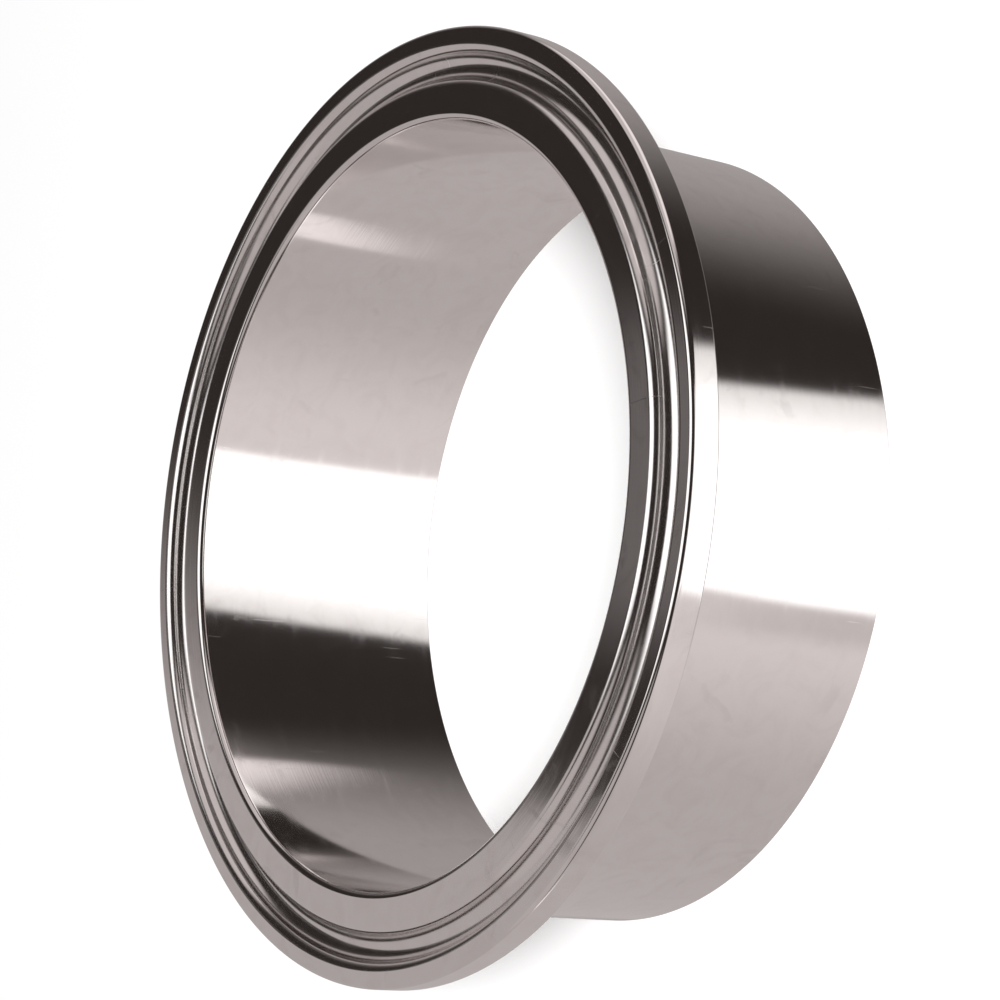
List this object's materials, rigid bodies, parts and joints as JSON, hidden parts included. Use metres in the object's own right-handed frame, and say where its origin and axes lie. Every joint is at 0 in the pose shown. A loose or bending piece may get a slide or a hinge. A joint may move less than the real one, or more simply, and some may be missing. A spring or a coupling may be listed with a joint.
{
  "type": "sanitary clamp ferrule",
  "caption": "Polished stainless weld ferrule: a short tube stub with a tapered clamp flange and a round gasket groove in its clamp face.",
  "frame": {"origin": "centre of the weld end, on the plane that the ferrule stands on", "axes": "+Z along the bore, from the weld end towards the clamp face; X and Y are alike, because the part is round"},
  "size_m": [0.091, 0.091, 0.0286],
  "materials": {
    "polished_stainless": "polished"
  },
  "bodies": {
    "root": {"ferrule": "polished_stainless"}
  },
  "joints": []
}
